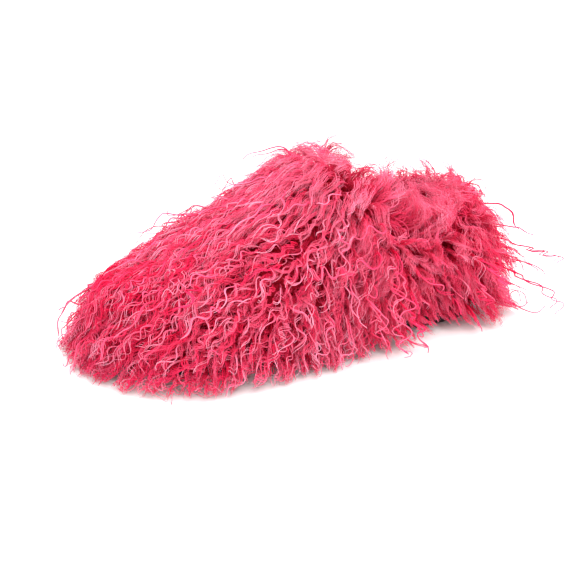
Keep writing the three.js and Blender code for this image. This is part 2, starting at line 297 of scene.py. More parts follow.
def finish_piece(obj, body, slot, *nodes):
    """Parents a piece to the empty of the body it rides on, or for "flex" bakes its place into its mesh and
    leaves it unparented, and hides the CAD nodes it stands for. The slot is not used.
    """
    if body == "flex":
        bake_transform(obj)
    else:
        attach(obj, body)
    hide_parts(*nodes)


# ---------------------------------------------------------------- panels

PANELS = ("vamp", "lateral_quarter", "medial_quarter")
PANEL_BODY = {"vamp": "flex", "lateral_quarter": "rear", "medial_quarter": "rear"}


def seam_x(z):
    """Where the side seams stand at a height: they slope down and forward."""
    return SEAM_TOP_X + SEAM_SLOPE * (SEAM_TOP_Z - z)


def panel_of(points):
    """0 in front of the side seams, 1 behind them on the outer side, 2 on the inner side."""
    rear = points[..., 0] < seam_x(points[..., 2])
    return np.where(rear, np.where(points[..., 1] > 0, 1, 2), 0)


def surface_place(x, y, grow):
    """Turn and angle of the place above (x, y) on a skin outside the foot space."""
    half_width, _ = FOOT.section(x, grow)
    turn = np.arccos(np.clip(-x / (FOOT.length / 2 + grow), -1, 1)) / np.pi
    side = np.clip(np.abs(y - FOOT.centre(x)) / half_width, 0, 1) ** (1 / FOOT.SIDE_POWER)
    return turn, np.sign(y) * np.arcsin(side)


def hem_angle(turn, z, grow):
    """How far down the side of that skin a height lies, as an angle."""
    x = -(FOOT.length / 2 + grow) * np.cos(np.pi * turn)
    _, crown = FOOT.section(x, grow)
    return np.arccos(np.clip(z / crown, 0, 1) ** (1 / FOOT.CROWN_POWER))


def rim(around, setback, grow):
    """Points round the foot opening on a skin outside the foot space."""
    x = OPENING_X + (OPENING_HALF_LENGTH + setback) * np.cos(around)
    y = (OPENING_HALF_WIDTH + setback) * np.sin(around)
    return np.stack([x, y, FOOT.height(x, y, grow)], axis=-1)


def panel_grid(panel, grow, hem, setback, columns, rows):
    """A grid of places (turn, angle) over one panel, from the foot opening down to the hem."""
    around = np.linspace(0, np.pi, 400)
    edge = rim(around, setback, grow)
    corner = around[np.argmax(edge[:, 0] < seam_x(edge[:, 2]))]
    half = FOOT.length / 2 + grow
    seam_turn = np.arccos(-seam_x(hem) / half) / np.pi
    share = np.linspace(0, 1, columns)
    # Fold is 1 at the side seams and falls to 0 at the tip of the toe or heel.
    if panel == "vamp":
        rim_turn = corner * (1 - 2 * share)
        fold = np.abs(1 - 2 * share)
        turn_hem = LAST_TURN - (LAST_TURN - seam_turn) * fold**1.6
        side = np.sign(1 - 2 * share)
    else:
        rim_turn = corner + (np.pi - corner) * share
        fold = 1 - share
        turn_hem = FIRST_TURN + (seam_turn - FIRST_TURN) * fold**1.2
        side = np.ones(columns)
        if panel == "medial_quarter":
            rim_turn, side = -rim_turn, -side
    top = rim(rim_turn, setback, grow)
    turn_top, angle_top = surface_place(top[:, 0], top[:, 1], grow)
    angle_hem = hem_angle(turn_hem, hem, grow) * side
    # Lines that end at the tip of the toe or heel run along the crown first and then down.
    bend = (1 - smooth(fold, 0, 0.35))[None, :]
    t = np.linspace(0, 1, rows)[:, None]
    ease_turn = t * (1 - bend) + np.minimum(t * 1.9, 1) * bend
    ease_angle = t * (1 - bend) + np.maximum(t * 1.9 - 0.9, 0) * bend
    turn = turn_top + (turn_hem - turn_top) * ease_turn
    angle = angle_top + (angle_hem - angle_top) * ease_angle
    return turn, angle


# ---------------------------------------------------------------- materials


def srgb(r, g, b):
    """A colour given as 0 to 255 screen values, as linear light."""
    c = np.array([r, g, b]) / 255
    return tuple(np.where(c <= 0.04045, c / 12.92, ((c + 0.055) / 1.055) ** 2.4))


def new_material(name):
    """A material with its nodes, its links and its shader."""
    material = bpy.data.materials.new(name)
    material.use_nodes = True
    nodes, links = material.node_tree.nodes, material.node_tree.links
    return material, nodes, links, nodes["Principled BSDF"]


def ramp(nodes, stops):
    """A colour ramp through (place, colour) stops."""
    node = nodes.new("ShaderNodeValToRGB")
    elements = node.color_ramp.elements
    while len(elements) < len(stops):
        elements.new(0.5)
    for element, (at, color) in zip(elements, stops):
        element.position = at
        element.color = (*color, 1)
    return node


def grained(name, dark, light, scale, roughness, bump, stretch=(1, 1, 1), sheen=0.0, specular=0.3):
    """Two tones mixed by a fine grain that also roughens the surface; the grain can run along an axis."""
    material, nodes, links, shader = new_material(name)
    place = nodes.new("ShaderNodeTexCoord")
    mapping = nodes.new("ShaderNodeMapping")
    mapping.inputs["Scale"].default_value = stretch
    noise = nodes.new("ShaderNodeTexNoise")
    noise.inputs["Scale"].default_value = scale
    noise.inputs["Detail"].default_value = 6
    color = ramp(nodes, [(0.3, srgb(*dark)), (0.7, srgb(*light))])
    relief = nodes.new("ShaderNodeBump")
    relief.inputs["Strength"].default_value = bump
    relief.inputs["Distance"].default_value = 0.0006
    links.new(place.outputs["Object"], mapping.inputs["Vector"])
    links.new(mapping.outputs["Vector"], noise.inputs["Vector"])
    links.new(noise.outputs["Fac"], color.inputs[0])
    links.new(color.outputs[0], shader.inputs["Base Color"])
    links.new(noise.outputs["Fac"], relief.inputs["Height"])
    links.new(relief.outputs[0], shader.inputs["Normal"])
    shader.inputs["Roughness"].default_value = roughness
    shader.inputs["Specular IOR Level"].default_value = specular
    shader.inputs["Sheen Weight"].default_value = sheen
    return material


def foam_material(name, dark, light, scale):
    """Open foam: small round cells."""
    material, nodes, links, shader = new_material(name)
    place = nodes.new("ShaderNodeTexCoord")
    cells = nodes.new("ShaderNodeTexVoronoi")
    cells.inputs["Scale"].default_value = scale
    color = ramp(nodes, [(0, srgb(*dark)), (0.5, srgb(*light))])
    relief = nodes.new("ShaderNodeBump")
    relief.inputs["Strength"].default_value = 0.5
    relief.inputs["Distance"].default_value = 0.0005
    links.new(place.outputs["Object"], cells.inputs["Vector"])
    links.new(cells.outputs["Distance"], color.inputs[0])
    links.new(color.outputs[0], shader.inputs["Base Color"])
    links.new(cells.outputs["Distance"], relief.inputs["Height"])
    links.new(relief.outputs[0], shader.inputs["Normal"])
    shader.inputs["Roughness"].default_value = 0.9
    return material


def fur_material():
    """Pink wool. The UV layer's columns run from deep to pale strands, and its height from root to tip."""
    material, nodes, links, shader = new_material("fur_pink")
    uv = nodes.new("ShaderNodeUVMap")
    uv.uv_map = "OFBake"
    split = nodes.new("ShaderNodeSeparateXYZ")
    links.new(uv.outputs[0], split.inputs[0])
    deep = ramp(nodes, [(0, srgb(192, 3, 36)), (0.45, srgb(234, 27, 75)), (1, srgb(244, 62, 110))])
    pale = ramp(nodes, [(0, srgb(222, 30, 76)), (0.5, srgb(247, 108, 150)), (1, srgb(250, 182, 206))])
    mix = nodes.new("ShaderNodeMix")
    mix.data_type = "RGBA"
    for node in (deep, pale):
        links.new(split.outputs[1], node.inputs[0])
    links.new(split.outputs[0], mix.inputs["Factor"])
    links.new(deep.outputs[0], mix.inputs["A"])
    links.new(pale.outputs[0], mix.inputs["B"])
    links.new(mix.outputs["Result"], shader.inputs["Base Color"])
    shader.inputs["Roughness"].default_value = 0.65
    shader.inputs["Specular IOR Level"].default_value = 0.05
    return material


RUBBER = grained("rubber_black", (14, 14, 15), (30, 30, 31), 900, 0.62, 0.35)
EVA = grained("eva_black", (18, 18, 19), (36, 35, 36), 420, 0.8, 0.5)
FIBREBOARD = grained("fibreboard", (120, 92, 62), (168, 136, 98), 260, 0.85, 0.4, stretch=(1, 5, 5))
SUEDE = grained("suede_tan", (150, 104, 70), (196, 148, 108), 700, 0.95, 0.6, sheen=0.3, specular=0.1)
STIFF = grained("stiffener", (206, 202, 194), (228, 225, 218), 500, 0.7, 0.2)
TAPE = grained("tape_pink", (186, 28, 66), (222, 58, 98), 1400, 0.8, 0.6, stretch=(1, 1, 4), sheen=0.2)
THREAD = grained("thread_pink", (196, 40, 80), (232, 84, 122), 1800, 0.6, 0.4)
BACKING_CLOTH = grained("fur_backing", (150, 6, 30), (206, 20, 58), 500, 0.95, 0.8)
FOAM = foam_material("foam_cream", (196, 178, 140), (236, 222, 190), 900)

# ---------------------------------------------------------------- bottom unit

LAYERS = ("midsole", "footbed_foam", "sock_liner")
BASE_OF = {node: box_mm(node)[0][2] for node in LAYERS}
TOP_OF = {node: box_mm(node)[1][2] for node in LAYERS}
SOLE_OVERHANG = 4.2


def layer(name, grow, material, slot, dish, bevel):
    """A soft layer of the bottom unit in the foot's outline; dish hollows its top under the foot."""
    base, top = BASE_OF[name], TOP_OF[name]
    turn = np.linspace(FIRST_TURN, LAST_TURN, 121)[None, :]
    share = np.linspace(-1, 1, 41)[:, None]
    edge = FOOT.point(turn, hem_angle(turn, (base + top) / 2, grow), grow)
    centre = FOOT.centre(edge[..., 0])
    y = centre + (edge[..., 1] - centre) * share
    x = np.broadcast_to(edge[..., 0], y.shape)
    rise = (1 - share**2) * (0.6 + 0.4 * np.cos(2 * np.pi * (x + 90) / 250))
    obj = sheet(name, np.stack([x, y, top - dish * rise], axis=-1), top - base, material, bevel)
    finish_piece(obj, "flex", slot, name)


layer("midsole", SOLE_OVERHANG, EVA, "eva_black", dish=0.0, bevel=1.2)
layer("footbed_foam", 0.0, FOAM, "foam_cream", dish=0.0, bevel=0.6)
layer("sock_liner", -CLEARANCE, SUEDE, "suede_tan", dish=0.5, bevel=0.3)

# ---------------------------------------------------------------- inside of the upper

COUNTER_TOP = 46
COLLAR_FOAM_START, COLLAR_FOAM_END = 3, 16  # how far outside the opening's edge the padding lies
COLLAR_FOAM_LIFT = 3.5  # how far outside the foot space its outer face lies
SEAM_LIFT = 4.7  # and how far outside it the seam threads lie
SEAM_END_GAP = 0.6
THREAD_RADIUS = 0.5
STITCHES = 64  # round the opening


def lining(panel):
    """Soft suede inside one panel, with shallow slack folds."""
    hem = TOP_OF["midsole"]
    turn, angle = panel_grid(panel, LINING_THICKNESS, hem, setback=2.7, columns=81, rows=51)
    folds = 0.25 * np.sin(60 * turn + 5 * angle)
    slack = folds * smooth(opening_reach(FOOT.point(turn, angle, 0)), 1.05, 1.4)
    thickness = LINING_THICKNESS - CLEARANCE
    points = FOOT.point(turn, angle, thickness + slack)
    obj = sheet(f"{panel}_lining", points, thickness, SUEDE, bevel=0.3)
    finish_piece(obj, PANEL_BODY[panel], "suede_tan", f"{panel}_lining")


def heel_pocket():
    """The pocket that covers the back seam inside the heel."""
    low, high = box_mm("heel_lining")
    width = np.linspace(-1, 1, 61)[None, :]
    z = np.linspace(low[2], high[2], 25)[:, None]
    front = np.arccos(-high[0] / (FOOT.length / 2)) / np.pi
    turn = FIRST_TURN + (front - FIRST_TURN) * np.abs(width) ** 1.3 + 0 * z
    angle = hem_angle(turn, z, -CLEARANCE) * np.sign(width)
    obj = sheet("heel_lining", FOOT.point(turn, angle, -CLEARANCE), 1.2, SUEDE, bevel=0.3)
    finish_piece(obj, "rear", "suede_tan", "heel_lining")


def collar_foam():
    """Padding that rings the opening between the lining and the fur, down to the heel counter."""
    around = np.linspace(0, 2 * np.pi, 121)[None, :]
    reach = np.linspace(COLLAR_FOAM_START, COLLAR_FOAM_END, 40)[:, None]
    above = rim(around, reach, COLLAR_FOAM_LIFT + 0.1)[..., 2] > COUNTER_TOP + 1
    width = np.array([reach[column, 0].max() for column in above.T])
    share = np.linspace(0, 1, 9)[:, None]
    puff = 0.15 * np.sin(12 * around) * np.sin(np.pi * share)
    setback = COLLAR_FOAM_START + (width - COLLAR_FOAM_START) * share
    points = rim(around, setback, COLLAR_FOAM_LIFT + puff)
    obj = sheet("collar_foam", points, 1.5, FOAM, bevel=0.4)
    finish_piece(obj, "rear", "foam_cream", "collar_foam")


def sewing_thread(name, path, closed):
    """A twisted two-ply thread along a path."""
    obj = cord(name, path, THREAD_RADIUS, 8, closed, THREAD, plies=2, lay=2.4)
    finish_piece(obj, "rear", "thread_pink", name)


def binding():
    """The rolled edge tape of the opening, puckered a little by its stitches."""
    around = np.linspace(0, 2 * np.pi, 320, endpoint=False)
    middle = BACKING / 2
    pucker = 0.12 * np.sin(STITCHES * around)
    roll = cord("topline_binding", rim(around, pucker, middle), BINDING_RADIUS, 16, True, TAPE)
    finish_piece(roll, "rear", "tape_pink", "topline_binding")
    dip = 0.5 * np.abs(np.sin(STITCHES / 2 * around)) - 0.25
    sewing_thread("topline_thread", rim(around, -3.0 + dip, middle - CLEARANCE), True)


def seam_threads():
    """The threads that join the fur panels, up both sides and up the back."""
    for side, name in ((1, "lateral_seam_thread"), (-1, "medial_seam_thread")):
        low, high = box_mm(name)
        z = np.linspace(low[2] + SEAM_END_GAP, high[2] - SEAM_END_GAP, 160)
        half = FOOT.length / 2 + SEAM_LIFT
        turn = np.arccos(-seam_x(z) / half) / np.pi
        angle = side * hem_angle(turn, z, SEAM_LIFT)
        sewing_thread(name, FOOT.point(turn, angle, SEAM_LIFT), False)
    low, high = box_mm("back_seam_thread")
    z = np.linspace(low[2] + SEAM_END_GAP, high[2] - SEAM_END_GAP, 120)
    turn = np.linspace(FIRST_TURN, 0.2, 400)
    profile = FOOT.point(turn, 0 * turn, SEAM_LIFT)
    x = np.where(z < profile[0, 2], profile[0, 0], np.interp(z, profile[:, 2], profile[:, 0]))
    sewing_thread("back_seam_thread", np.stack([x, 0 * z, z], axis=-1), False)


for panel in PANELS:
    lining(panel)
heel_pocket()
collar_foam()
binding()
seam_threads()

# ---------------------------------------------------------------- stiff pieces kept from the frame

KEPT = {
    "forefoot_outsole": (RUBBER, 0.7), "heel_outsole": (RUBBER, 0.7),
    "front_insole_board": (FIBREBOARD, 0.3), "rear_insole_board": (FIBREBOARD, 0.3),
    "toe_puff": (STIFF, 0.0), "heel_counter": (STIFF, 0.0),
}
for node, (material, edge) in KEPT.items():
    obj = bpy.data.objects[node]
    obj.data.materials.clear()
    obj.data.materials.append(material)
    if edge:
        add_bevel(obj, edge, 2, 40)

# ---------------------------------------------------------------- growth of the fur


class Skin:
    """A mound as a surface that can be asked for the nearest place on it."""

    def __init__(self, mound, grow):
        turn, angle = np.meshgrid(np.linspace(0, 1, 161), np.linspace(-0.5, 0.5, 81) * np.pi, indexing="ij")
        points = mound.point(turn, angle, grow).reshape(-1, 3)
        index = np.arange(len(points)).reshape(turn.shape)
        quads = np.stack([index[:-1, :-1], index[1:, :-1], index[1:, 1:], index[:-1, 1:]], axis=-1)
        self.tree = BVHTree.FromPolygons(points.tolist(), quads.reshape(-1, 4).tolist())

    def nearest(self, points):
        """Outward directions at the nearest places, and distances outside the skin."""
        found = [self.tree.find_nearest(p) for p in points.tolist()]
        place = np.array([f[0][:] for f in found])
        normal = np.array([f[1][:] for f in found])
        normal *= np.sign(np.sum(normal * place, axis=1, keepdims=True))
        return normal, np.sum((points - place) * normal, axis=1)


CLOTH = Skin(FOOT, BACKING)
OUTLINE = Skin(PILE, 0.0)
TRIED_AREA = 3.2e6  # places tried for one look, times the square of their spacing
ANYWHERE = 200  # a height and a distance from the opening that no root reaches


def scatter(rng, spacing, low, high):
    """Evenly spread roots on the backing cloth, between two heights."""
    # Turns and angles crowd together where the mound narrows, so fewer of the places there are kept.
    tries = int(TRIED_AREA / spacing**2)
    turn = rng.uniform(FIRST_TURN, LAST_TURN, tries)
    angle = rng.uniform(-0.5, 0.5, tries) * np.pi
    here = FOOT.point(turn, angle, BACKING)
    along = FOOT.point(turn + 0.002, angle, BACKING) - here
    across = FOOT.point(turn, angle + 0.004, BACKING) - here
    area = np.linalg.norm(np.cross(along, across), axis=1)
    keep = rng.uniform(0, 1, tries) * np.percentile(area, 90) < area
    keep &= (here[:, 2] > low) & (here[:, 2] < high) & (opening_reach(here) > 1.05)
    cells = {}
    chosen = []
    for p in here[keep]:
        cell = tuple((p // spacing).astype(int))
        near = [
            q
            for dx in (-1, 0, 1) for dy in (-1, 0, 1) for dz in (-1, 0, 1)
            for q in cells.get((cell[0] + dx, cell[1] + dy, cell[2] + dz), ())
        ]
        if all(np.sum((p - q) ** 2) > spacing**2 for q in near):
            cells.setdefault(cell, []).append(p)
            chosen.append(p)
    return np.array(chosen)


def zones(root):
    """How much each root belongs to the front, to the collar and to the rear, from 0 to 1."""
    front = smooth(root[:, 0], -50, 10)
    collar = 1 - smooth(opening_reach(root), 1.08, 1.4)
    return front * (1 - collar), collar, (1 - front) * (1 - collar)


def comb(place, normal, parted, lean):
    """The way the pile lies at each place, along the cloth.

    Parted is how far it turns into the opening, and lean turns it sideways by an angle.
    """
    x, y, z = place.T
    forward = np.interp(x, [-150, -120, -90, -50, 10, 60], [-0.1, 0.2, 0.4, 0.5, 1.0, 1.4])
    forward = forward * (0.5 + 0.5 * smooth(z, 10, 60))
    outward = np.sign(y) * smooth(np.abs(y), 0, 30) * 0.2
    fall = np.stack([forward, outward, np.full_like(x, -0.75)], axis=1)
    inward = unit(np.stack([OPENING_X - x, -1.4 * y, np.zeros_like(x)], axis=1))
    turned_in = parted * (1 - smooth(x, -46, -16)) * smooth(x, -145, -95)
    way = fall * (1 - turned_in)[:, None] + inward * (0.55 * turned_in)[:, None]
    way = way - np.sum(way * normal, axis=1, keepdims=True) * normal
    # Where the two ways meet they cancel, and the pile stands up instead.
    way = way / np.maximum(np.linalg.norm(way, axis=1, keepdims=True), 0.5)
    side = np.cross(normal, way)
    whorl = 0.12 * np.sin(x / 15 + 2 * np.sin(y / 21)) + 0.1 * np.sin(z / 11 - x / 26)
    turn = (lean + whorl)[:, None]
    return way * np.cos(turn) + side * np.sin(turn)


def brushed_reach(root):
    """How far out the hair of each root is brushed, as a multiple of the plain pile's height."""
    x, y, z = root.T
    near = opening_reach(root)
    collar = zones(root)[1]
    # The back of the heel and the tip of the toe.
    ends = smooth(-x, 80, 125) * smooth(z, 22, 50)
    ends = ends + smooth(x, 85, 125) * smooth(z, 20, 36)
    # The top of the instep, and the edge of the opening behind it.
    peak = smooth(x, -66, -46) * (1 - smooth(x, -28, 4)) * smooth(z, 62, 78)
    saddle = collar * smooth(x, -104, -84) * (1 - smooth(x, -52, -36))
    # The hair just below the collar stands out too, and the inner side of the collar lies lower at the heel.
    shoulder = smooth(near, 1.15, 1.4) * (1 - smooth(near, 1.7, 2.2)) * (1 - smooth(x, -60, -30))
    inner = collar * smooth(-y, 8, 24) * (1 - smooth(x, -100, -84))
    return 1 + 0.3 * ends + 0.16 * peak + 0.5 * saddle + 0.22 * shoulder - 0.3 * inner


def grow(root, length, reach, lean, run, steps):
    """Grows one guide hair per root; returns points, outward directions and sideways directions.

    Reach is how far up the pile it climbs, as a share of its height. Run is how far hair that gets
    down to the floor goes on along it, as a share of its free growth.
    """
    place = root.copy()
    normal, _ = CLOTH.nearest(place)
    heading = normal
    collar = zones(root)[1]
    # Neighbouring locks part at different distances from the opening, so that no parting line shows.
    parted = smooth(collar + 0.5 * np.sin(2.3 * root[:, 0] + 3.7 * root[:, 1]), 0.3, 0.8)
    step = (length / steps)[:, None]
    reach = reach * brushed_reach(root)
    points, normals, sides = [place], [normal], []
    for _ in range(steps):
        normal, height = CLOTH.nearest(place)
        outside = OUTLINE.nearest(place)[1]
        room = np.maximum(height - outside, 12 + 6 * collar)
        climb = np.clip(2.4 * (reach * room - height) / room, -0.6, 0.92)
        way = comb(place, normal, parted, lean)
        wanted = way * np.sqrt(1 - climb**2)[:, None] + normal * climb[:, None]
        heading = unit(0.45 * heading + 0.55 * wanted)
        # Hair that gets down to the floor turns outward and lies on it.
        landing = 1 - smooth(place[:, 2], 2, 12)
        falling = heading[:, 2] < 0
        heading[:, 2] = np.where(falling, heading[:, 2] * (1 - 0.9 * landing), heading[:, 2])
        splay = np.interp(place[:, 0], [-120, -60, 40], [0.1, 0.15, 0.4])
        heading[:, :2] += unit(normal[:, :2]) * (splay * landing)[:, None]
        heading = unit(heading)
        place = place + heading * step * (1 - (1 - run) * (1 - smooth(place[:, 2:], 1, 9)))
        sides.append(unit(np.cross(normal, heading)))
        normals.append(normal)
        points.append(place)
    sides.append(sides[-1])
    return np.stack(points, 1), np.stack(normals, 1), np.stack(sides, 1)


FREE_REACH = np.array([158, 86, 122])
SLACK = np.array([11, 11, 8])


def hold_within(points):
    """Draws in whatever reaches further than FREE_REACH, softly, by at most SLACK past it."""
    over = np.maximum(np.abs(points) - FREE_REACH, 0)
    held = np.sign(points) * (FREE_REACH + SLACK * np.tanh(over / SLACK))
    return np.where(over > 0, held, points)


class Leaders:
    """Guide hairs that the hair around them closes up on, so that the pile falls in larger locks."""

    SPACING = 9.5
    LENGTH = 52
    STEPS = 24

    def __init__(self, rng):
        self.root = scatter(rng, self.SPACING, SOLE_TOP, ANYWHERE)
        n = len(self.root)
        lean = rng.normal(0, 0.25, n)
        length, reach = np.full(n, self.LENGTH), np.full(n, 1.0)
        self.path = grow(self.root, length, reach, lean, 0.2, self.STEPS)[0]

    def beside(self, root, t):
        """The nearest leader's hair at the shares t of its length, one row for each root."""
        apart = np.sum((root[:, None] - self.root[None]) ** 2, axis=2)
        path = self.path[np.argmin(apart, axis=1)]
        step = np.minimum((t * self.STEPS).astype(int), self.STEPS - 1)
        share = (t * self.STEPS - step)[None, :, None]
        return path[:, step] * (1 - share) + path[:, step + 1] * share


class Locks:
    """The locks of one look: a guide hair in each, and the strands that stand round it."""

    def __init__(self, rng, look):
        self.rng, self.look = rng, look
        root = scatter(rng, look["spacing"], SOLE_TOP, look["top"])
        root = root[opening_reach(root) < look["within"]]
        share = np.stack(zones(root), axis=1) @ look["share"]
        share = share * (1 - look["brushed"] * smooth(root[:, 2], 64, 88))
        self.root = root[rng.uniform(0, 1, len(root)) < share]
        self.zones = zones(self.root)
        # The top of the instep is brushed out and its waves are flatter; its pink is painted paler, as light
        # falling on it.
        self.brushed = smooth(self.root[:, 2], 64, 88)
        self.flat = 1 - 0.6 * self.brushed
        self.crimp = look["crimp"] * self.flat
        self.t = np.linspace(0, 1, look["steps"] + 1)[None, :]

    def vary(self, low, high):
        """A random value for each lock."""
        return self.rng.uniform(low, high, len(self.root))

    def phase(self):
        """A random angle for each lock, as a column."""
        return self.vary(0, 2 * np.pi)[:, None]

    def by_zone(self, key):
        """A value of the look for each lock, blended between front, collar and rear."""
        front, collar, rear = self.zones
        at_front, at_collar, at_rear = self.look[key]
        return at_front * front + at_collar * collar + at_rear * rear

    def trim(self):
        """The hem of the heel is trimmed shorter, most of all at its waist, where the sole shows."""
        x, z = self.root[:, 0], self.root[:, 2]
        rear = self.zones[2]
        waist = 0.5 + 0.5 * np.cos((x + 75) / 11)
        return 1 - rear * (0.35 * (1 - smooth(z, 28, 46)) + 0.45 * waist * (1 - smooth(z, 44, 70)))

    def gather(self):
        """How far each guide hair draws in towards its leader: most near the hem, none at the collar."""
        hem = 0.3 * (1 - smooth(self.root[:, 2], 12, 30))
        gather = (self.by_zone("gather") + hem) * self.vary(0.6, 1.2)
        gather = gather * self.flat * smooth(opening_reach(self.root), 1.2, 1.75)
        return np.minimum(gather, 0.95)

    def grow_guides(self, leaders):
        """Smooth guide hairs, and the distance along each."""
        look = self.look
        length = self.by_zone("length") * self.vary(0.75, 1.2) * self.trim()
        lean = self.rng.normal(0, 1, len(self.root)) * self.by_zone("lean")
        spread = self.vary(*look["reach_range"])
        reach = self.by_zone("reach") * (spread + (0.95 - spread) * 0.6 * self.brushed)
        path, self.normal, self.side = grow(self.root, length, reach, lean, look["run"], look["steps"])
        gather = self.gather()[:, None] * self.t**1.4
        path = path + (leaders.beside(self.root, self.t[0]) - path) * gather[..., None]
        self.along = self.t * length[:, None]
        return path

    def wave(self, path):
        """Waves across the hair, pinched along it so that the bends close up like wool curls."""
        t, along = self.t, self.along
        wavelength = self.vary(*self.look["wavelength"])[:, None]
        turn = 2 * np.pi * along * (1 + 0.2 * t) / wavelength + self.phase()
        turn = turn + 1.2 * np.sin(2 * np.pi * along / (2.3 * wavelength) + self.phase())
        height = (self.by_zone("wave") * self.flat * self.vary(0.5, 1.4))[:, None]
        height = height * smooth(t, 0.05, 0.6) * (0.7 + 0.6 * t)
        heading = unit(np.gradient(path, axis=1))
        path = path + self.side * (height * np.sin(turn))[..., None]
        path = path - heading * (self.look["pinch"] * height * np.sin(2 * turn))[..., None]
        return path + self.normal * (0.5 * height * np.cos(turn * 0.93 + 1))[..., None]

    def dip(self, path):
        """Long, slow rises and dips, so that a hair shows only here and there, and a little crimp."""
        turn = 2 * np.pi * self.along / self.vary(24, 40)[:, None] + self.phase()
        path = path + self.normal * (self.look["dip"] * np.sin(turn) * self.t)[..., None]
        return path + self.rng.normal(0, 1, path.shape) * self.crimp[:, None, None] * self.t[..., None]

    def surround(self, path):
        """Strands round the guide hairs, wide apart at the root and drawn together at the tip."""
        rng, look, t = self.rng, self.look, self.t[:, None]
        side, normal, along = self.side[:, None], self.normal[:, None], self.along[:, None]
        each = (len(self.root), look["count"], 1)
        own = rng.uniform(0, 1, each)
        spin = rng.uniform(0, 2 * np.pi, each)
        narrow = look["root"] * (1 - t) ** 0.8 + self.by_zone("tip")[:, None, None]
        wide = np.sqrt(own) * narrow
        around = spin + look["twist"] * along
        strands = path[:, None] + side * (wide * np.cos(around))[..., None]
        strands = strands + normal * (wide * np.sin(around) * 0.8)[..., None]
        own_wave = 2 * np.pi * along / rng.uniform(7, 13, each) + 2 * np.pi * own
        frizz = (self.by_zone("frizz") * self.flat)[:, None, None] * smooth(t, 0, 0.4)
        frizz = frizz * rng.uniform(0.3, 1.3, each)
        strands = strands + side * (frizz * np.sin(own_wave))[..., None]
        strands = strands + normal * (frizz * np.cos(own_wave * 1.1))[..., None]
        rough = self.crimp[:, None, None, None] * smooth(t, 0, 0.3)[..., None]
        strands = strands + rng.normal(0, 1, strands.shape) * rough
        first = strands[:, :, :1]
        strands = first + (strands - first) * rng.uniform(0.75, 1.0, (*each, 1))
        floor = 0.4 + 1.2 * own
        strands[..., 2] = np.maximum(strands[..., 2], floor)
        return hold_within(strands)

    def radii(self):
        """Strands get thinner towards the tip."""
        each = (len(self.root), self.look["count"], 1)
        taper = 1 - self.look["taper"] * self.t[:, None] ** 2
        return self.look["radius"] * taper * self.rng.uniform(0.8, 1.2, each)

    def tones(self):
        """0 for the deepest pink to 1 for the palest; painted shade makes the toe and the hem deeper, and
        painted light makes the brushed top of the instep paler.
        """
        x, z = self.root[:, 0], self.root[:, 2]
        # Painted light and shade: paler on the brushed top of the instep, deeper at the toe and along the
        # hem.
        painted_shading = 0.22 * self.brushed - 0.16 * smooth(x, 50, 110) - 0.12 * (1 - smooth(z, 12, 30))
        n = len(self.root)
        tone = (self.by_zone("tone") + painted_shading)[:, None] + self.rng.normal(0, self.look["tone_locks"], (n, 1))
        return tone + self.rng.normal(0, self.look["tone_own"], (n, self.look["count"]))


def grow_locks(rng, look, leaders):
    """Strands grouped in locks. Returns paths (n, k, 3), radii (n, k), tones (n) and panels (n)."""
    locks = Locks(rng, look)
    paths = locks.surround(locks.dip(locks.wave(locks.grow_guides(leaders))))
    radii = locks.radii()
    tones = locks.tones()
    panels = np.repeat(panel_of(locks.root), look["count"])
    k = look["steps"] + 1
    return paths.reshape(-1, k, 3), radii.reshape(-1, k), tones.reshape(-1), panels


# ---------------------------------------------------------------- strands as meshes

TONE_COLUMNS = 96  # the fur's UV layer is cut into this many columns, from deep to pale
SIDES = 3


def tube_points(paths, radii):
    """Rings of points round the paths, in metres, as (strands, points of a strand, 3)."""
    n, k, _ = paths.shape
    tangent = unit(np.gradient(paths, axis=1))
    across = unit(np.cross(tangent[:, 0], [0.3, 0.5, 0.8]))
    rings = []
    for i in range(k):
        across = unit(across - np.sum(across * tangent[:, i], axis=1, keepdims=True) * tangent[:, i])
        upward = np.cross(tangent[:, i], across)
        for j in range(SIDES):
            turn = 2 * np.pi * j / SIDES
            offset = across * math.cos(turn) + upward * math.sin(turn)
            rings.append(paths[:, i] + offset * radii[:, i, None])
    return np.stack(rings, axis=1).reshape(n, k * SIDES, 3) * MM


def tube_faces(k):
    """Corners, UV places and face sizes of one closed tube of k rings."""
    quads, quad_uv = [], []
    t = np.linspace(0.01, 0.99, k)
    for i in range(k - 1):
        for j in range(SIDES):
            a, b = i * SIDES + j, i * SIDES + (j + 1) % SIDES
            quads.append([a, b, b + SIDES, a + SIDES])
            left, right = j / SIDES, (j + 1) / SIDES
            quad_uv.append([(left, t[i]), (right, t[i]), (right, t[i + 1]), (left, t[i + 1])])
    tip = (k - 1) * SIDES
    caps = [[2, 1, 0], [tip, tip + 1, tip + 2]]
    cap_uv = [[(0.6, t[0]), (0.3, t[0]), (0, t[0])], [(0, t[-1]), (0.3, t[-1]), (0.6, t[-1])]]
    corners = np.concatenate([np.array(quads).ravel(), np.array(caps).ravel()])
    places = np.concatenate([np.array(quad_uv).reshape(-1, 2), np.array(cap_uv).reshape(-1, 2)])
    return corners, places, np.array([4] * len(quads) + [3] * len(caps))


